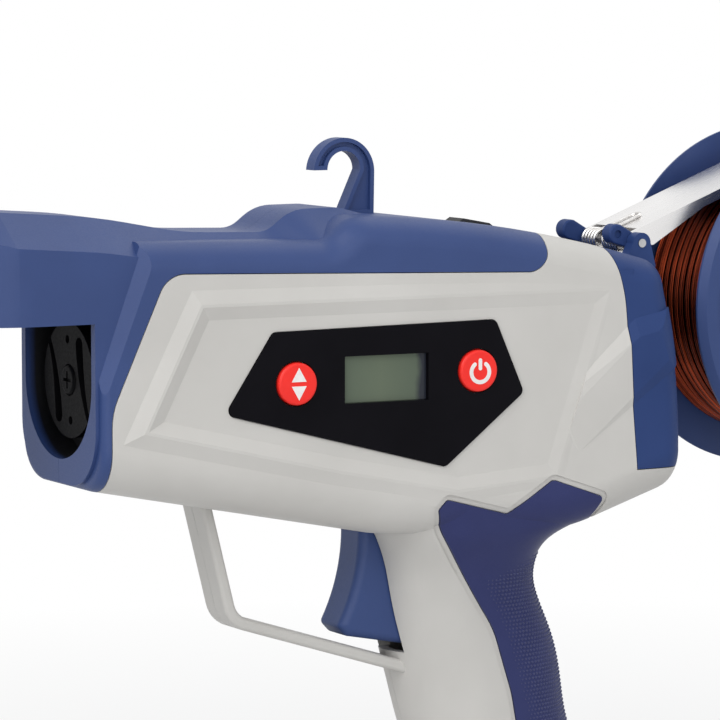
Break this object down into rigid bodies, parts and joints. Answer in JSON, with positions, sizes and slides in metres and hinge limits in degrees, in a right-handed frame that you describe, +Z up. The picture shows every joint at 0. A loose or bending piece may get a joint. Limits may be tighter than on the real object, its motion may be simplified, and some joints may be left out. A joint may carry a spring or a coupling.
{
  "type": "electric vine tying tool",
  "caption": "Pistol-shaped battery tool that feeds tying wire from a rear spool into a hooked jaw and twists it round vine shoots.",
  "frame": {"origin": "centre of the flat base of the battery pack", "axes": "+X to the back of the tool, towards the wire spool, -Y to the left side with the control panel, +Z up"},
  "size_m": [0.3596, 0.073, 0.2301],
  "materials": {
    "blue_plastic": "satin moulded",
    "grey_plastic": "fine matt moulded",
    "rubber_skin": "soft matt, knurled",
    "black_plastic": "matt",
    "panel_black": "smooth film",
    "red_plastic": "smooth",
    "display": "clear cover over a grey-green display",
    "polished_steel": "polished",
    "steel": "machined",
    "brass_bush": "plain",
    "board": "solder mask",
    "wire": "coated",
    "cell_can": "wrapped can",
    "aluminium_part": "plain"
  },
  "bodies": {
    "housing": {"left_nose_cover": "blue_plastic", "right_nose_cover": "blue_plastic", "rear_cover": "blue_plastic", "left_housing": "grey_plastic", "right_housing": "grey_plastic", "hanging_hook": "blue_plastic", "top_plug": "black_plastic", "grip_overmould": "rubber_skin", "control_panel": "panel_black", "lcd_display": "display", "control_board": "board", "key_switches": "black_plastic", "drive_board": "board", "trigger_pin": "steel", "trigger_switch": "black_plastic", "front_bush": "brass_bush", "rear_bush": "brass_bush", "gear_frame": "black_plastic", "twist_motor": "steel", "front_guide_tube": "steel", "rear_guide_tube": "steel", "cutter_blade": "steel", "beak_guide": "polished_steel", "feed_motor": "aluminium_part", "pinch_pin": "steel", "hinge_pin": "steel", "spool_axle": "steel", "spool_bracket": "aluminium_part", "wire_inlet": "steel", "terminal_block": "black_plastic", "housing_screws": "steel", "rear_screws": "steel", "bracket_screws": "steel"},
    "trigger": {"trigger": "blue_plastic"},
    "power_key": {"power_button": "red_plastic"},
    "adjust_key": {"adjust_button": "red_plastic"},
    "twist_rotor": {"twist_head": "steel", "head_screw": "steel", "twist_shaft": "steel", "twist_gear": "steel"},
    "pinion": {"motor_pinion": "steel"},
    "feed_roll": {"feed_roller": "steel"},
    "pinch_arm": {"pinch_lever": "steel"},
    "pinch_roll": {"pinch_roller": "steel"},
    "brake": {"brake_arm": "polished_steel", "left_thumb_cap": "blue_plastic", "right_thumb_cap": "blue_plastic", "brake_spring": "polished_steel"},
    "spool": {"spool_left_flange": "blue_plastic", "spool_right_flange": "blue_plastic", "wire_core": "wire", "wire_outer_layer": "wire"},
    "knob": {"spool_knob": "black_plastic"},
    "battery": {"battery_case": "black_plastic", "battery_lid": "black_plastic", "battery_cells": "cell_can"},
    "latch": {"battery_latch": "red_plastic"}
  },
  "joints": [
    {"name": "trigger_pull", "type": "hinge", "parent": "housing", "child": "trigger", "pos_m": [-0.049, 0, 0.125], "axis": [0, -1, 0], "range_deg": [0, 9], "stiffness_Nm_per_rad": 0.6, "springref_deg": -5.73},
    {"name": "power_press", "type": "slide", "parent": "housing", "child": "power_key", "axis": [0.0454, 0.999, 0], "range_m": [0, 0.0008], "stiffness_N_per_m": 600, "springref_m": -0.0008},
    {"name": "adjust_rock", "type": "hinge", "parent": "housing", "child": "adjust_key", "pos_m": [-0.08615, -0.02686, 0.1636], "axis": [0.999, -0.0454, 0], "range_deg": [-4, 4], "stiffness_Nm_per_rad": 0.1},
    {"name": "twist_spin", "type": "hinge", "parent": "housing", "child": "twist_rotor", "pos_m": [-0.12, 0, 0.1648], "axis": [1, 0, 0], "continuous": true},
    {"name": "pinion_spin", "type": "hinge", "parent": "housing", "child": "pinion", "pos_m": [-0.114, 0, 0.1457], "axis": [1, 0, 0], "continuous": true},
    {"name": "feed_spin", "type": "hinge", "parent": "housing", "child": "feed_roll", "pos_m": [-0.03, 0, 0.1785], "axis": [0, 1, 0], "continuous": true},
    {"name": "pinch_lift", "type": "hinge", "parent": "housing", "child": "pinch_arm", "pos_m": [-0.017, 0, 0.1945], "axis": [0, 1, 0], "range_deg": [0, 8], "stiffness_Nm_per_rad": 0.5, "springref_deg": -5.73},
    {"name": "pinch_spin", "type": "hinge", "parent": "pinch_arm", "child": "pinch_roll", "pos_m": [-0.03, 0, 0.193], "axis": [0, 1, 0], "continuous": true},
    {"name": "brake_lift", "type": "hinge", "parent": "housing", "child": "brake", "pos_m": [0.033, 0, 0.1978], "axis": [0, -1, 0], "range_deg": [0, 20], "stiffness_Nm_per_rad": 0.3, "springref_deg": -28.65},
    {"name": "spool_spin", "type": "hinge", "parent": "housing", "child": "spool", "pos_m": [0.1026, 0, 0.1781], "axis": [0, 1, 0], "continuous": true},
    {"name": "knob_turn", "type": "hinge", "parent": "housing", "child": "knob", "pos_m": [0.1026, -0.0286, 0.1781], "axis": [0, 1, 0], "continuous": true},
    {"name": "battery_slide", "type": "slide", "parent": "housing", "child": "battery", "axis": [-1, 0, 0], "range_m": [0, 0.08]},
    {"name": "latch_press", "type": "slide", "parent": "battery", "child": "latch", "axis": [1, 0, 0], "range_m": [0, 0.0025], "stiffness_N_per_m": 500, "springref_m": -0.001}
  ],
  "couplings": [
    {"joint": "pinion_spin", "follows": "twist_spin", "ratio": -2.4545},
    {"joint": "pinch_spin", "follows": "feed_spin", "ratio": -2}
  ]
}
